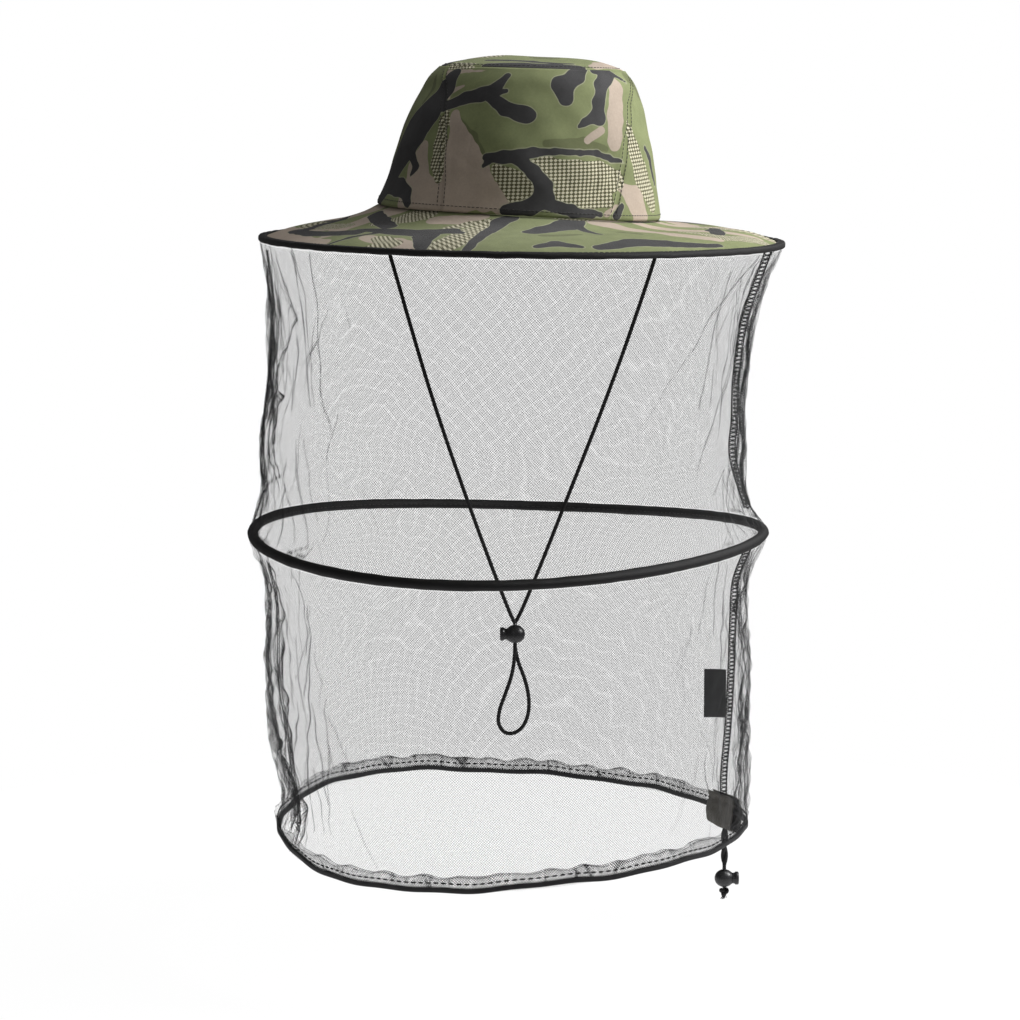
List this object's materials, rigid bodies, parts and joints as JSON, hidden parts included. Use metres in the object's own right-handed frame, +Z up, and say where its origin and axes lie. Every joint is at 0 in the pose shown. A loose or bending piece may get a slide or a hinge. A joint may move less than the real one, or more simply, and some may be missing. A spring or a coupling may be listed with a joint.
{
  "type": "beekeeping veil",
  "caption": "Bucket hat with a fine black mesh veil hung from its brim, held out by a spring hoop and closed by a drawcord hem, with a chin cord and ball cord locks.",
  "frame": {"origin": "centre of the head opening, at the seam between crown and brim, where the wearer's head holds the hat", "axes": "+Z up through the crown, -Y the way the wearer looks, +X the wearer's left; the veil hangs along -Z"},
  "size_m": [0.3603, 0.3504, 0.5879],
  "materials": {
    "camouflage_cotton": "matte woven cotton twill in four-colour camouflage with half-tone dots",
    "sweatband_cotton": "matte woven cotton",
    "veil_mesh": "fine black knitted mesh, see-through",
    "black_tape": "matte woven polyester tape",
    "label_satin": "satin ribbon, blank",
    "patch_cloth": "matte woven cloth, dark olive brown",
    "black_cord": "braided polyester cord",
    "black_plastic": "moulded, lightly textured",
    "spring_steel": "drawn wire"
  },
  "bodies": {
    "hat": {"crown_top_panel": "camouflage_cotton", "crown_front_panel": "camouflage_cotton", "crown_left_panel": "camouflage_cotton", "crown_right_panel": "camouflage_cotton", "crown_back_panel": "camouflage_cotton", "sweatband": "sweatband_cotton", "brim_upper_ply": "camouflage_cotton", "brim_lower_ply": "camouflage_cotton", "brim_edge_wire": "spring_steel", "brim_wire_ferrule": "spring_steel", "brim_edge_binding": "black_tape", "chin_anchor_left": "black_tape", "chin_anchor_right": "black_tape", "upper_net_front": "veil_mesh", "upper_net_back": "veil_mesh", "upper_net_seam_right": "veil_mesh", "upper_net_seam_left": "veil_mesh", "chin_cord_left": "black_cord", "chin_cord_right": "black_cord"},
    "hoop": {"hoop_wire": "spring_steel", "hoop_ferrule": "spring_steel", "hoop_casing": "black_tape", "lower_net_front": "veil_mesh", "lower_net_back": "veil_mesh", "lower_net_seam_right": "veil_mesh", "lower_net_seam_left": "veil_mesh", "care_label": "label_satin"},
    "hem": {"hem_casing": "black_tape", "hem_drawcord": "black_cord", "cord_exit_patch": "patch_cloth", "hem_cord_tail_front": "black_cord", "hem_cord_tail_back": "black_cord", "hem_cord_knot": "black_cord"},
    "hem_lock": {"hem_lock_body": "black_plastic", "hem_lock_spring": "spring_steel"},
    "hem_lock_button": {"hem_lock_button": "black_plastic"},
    "chin_lock": {"chin_lock_body": "black_plastic", "chin_lock_spring": "spring_steel", "chin_cord_loop": "black_cord"},
    "chin_lock_button": {"chin_lock_button": "black_plastic"}
  },
  "joints": [
    {"name": "hoop_lift", "type": "slide", "parent": "hat", "child": "hoop", "axis": [0, 0, 1], "range_m": [0, 0.165], "deforming": ["upper_net_front", "upper_net_back", "upper_net_seam_right", "upper_net_seam_left"]},
    {"name": "hem_lift", "type": "slide", "parent": "hoop", "child": "hem", "axis": [0, 0, 1], "range_m": [0, 0.16], "deforming": ["lower_net_front", "lower_net_back", "lower_net_seam_right", "lower_net_seam_left"]},
    {"name": "hem_lock_slide", "type": "slide", "parent": "hem", "child": "hem_lock", "axis": [0, 0, 1], "range_m": [0, 0.022]},
    {"name": "hem_lock_press", "type": "slide", "parent": "hem_lock", "child": "hem_lock_button", "axis": [-1, 0, 0], "range_m": [0, 0.002], "stiffness_N_per_m": 900, "springref_m": -0.001, "deforming": ["hem_lock_spring"]},
    {"name": "chin_lock_slide", "type": "slide", "parent": "hat", "child": "chin_lock", "axis": [0, 0, 1], "range_m": [-0.03, 0.11], "deforming": ["chin_cord_left", "chin_cord_right", "chin_cord_loop"]},
    {"name": "chin_lock_press", "type": "slide", "parent": "chin_lock", "child": "chin_lock_button", "axis": [1, 0, 0], "range_m": [0, 0.002], "stiffness_N_per_m": 900, "springref_m": -0.001, "deforming": ["chin_lock_spring"]}
  ]
}
